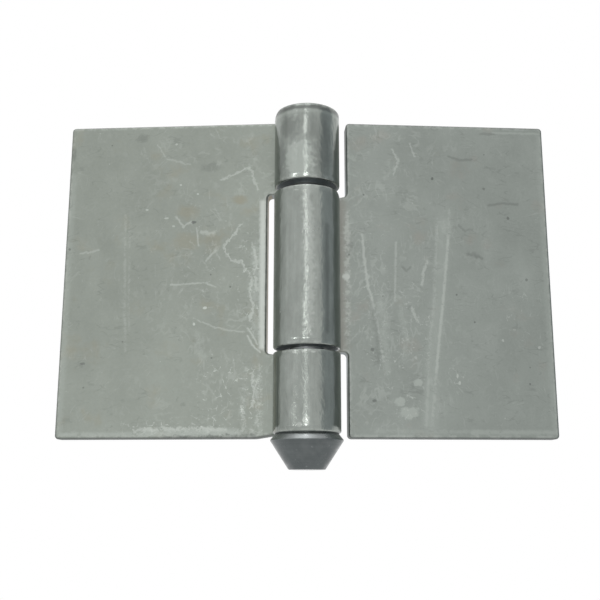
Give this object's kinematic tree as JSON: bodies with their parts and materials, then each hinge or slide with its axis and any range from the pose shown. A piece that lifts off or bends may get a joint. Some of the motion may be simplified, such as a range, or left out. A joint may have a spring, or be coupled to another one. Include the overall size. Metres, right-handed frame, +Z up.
{
  "type": "weld-on hinge",
  "caption": "Steel weld-on butt hinge: flat plate leaves with rolled knuckles turning on a pin with a cone-shaped head.",
  "frame": {"origin": "middle of the fixed leaf's weld face, between its outer edge and its slot, at mid-height", "axes": "+Z up along the pin, away from its head; +Y out of the fixed leaf's weld face; +X from the fixed leaf towards the pin and the moving leaf"},
  "size_m": [0.1824, 0.0364, 0.1311],
  "materials": {
    "fixed_leaf_steel": "bare oiled steel plate, scuffed, smoother round the rolled knuckles",
    "moving_leaf_steel": "bare oiled steel plate, scuffed, smoother round the rolled knuckle",
    "pin_steel": "turned bare steel, oiled"
  },
  "bodies": {
    "fixed": {"fixed_leaf": "fixed_leaf_steel", "hinge_pin": "pin_steel"},
    "moving": {"moving_leaf": "moving_leaf_steel"}
  },
  "joints": [
    {"name": "leaf_swing", "type": "hinge", "parent": "fixed", "child": "moving", "pos_m": [0.05363, -0.01202, 0], "axis": [0, 0, 1], "range_deg": [-187.3, 94]}
  ]
}
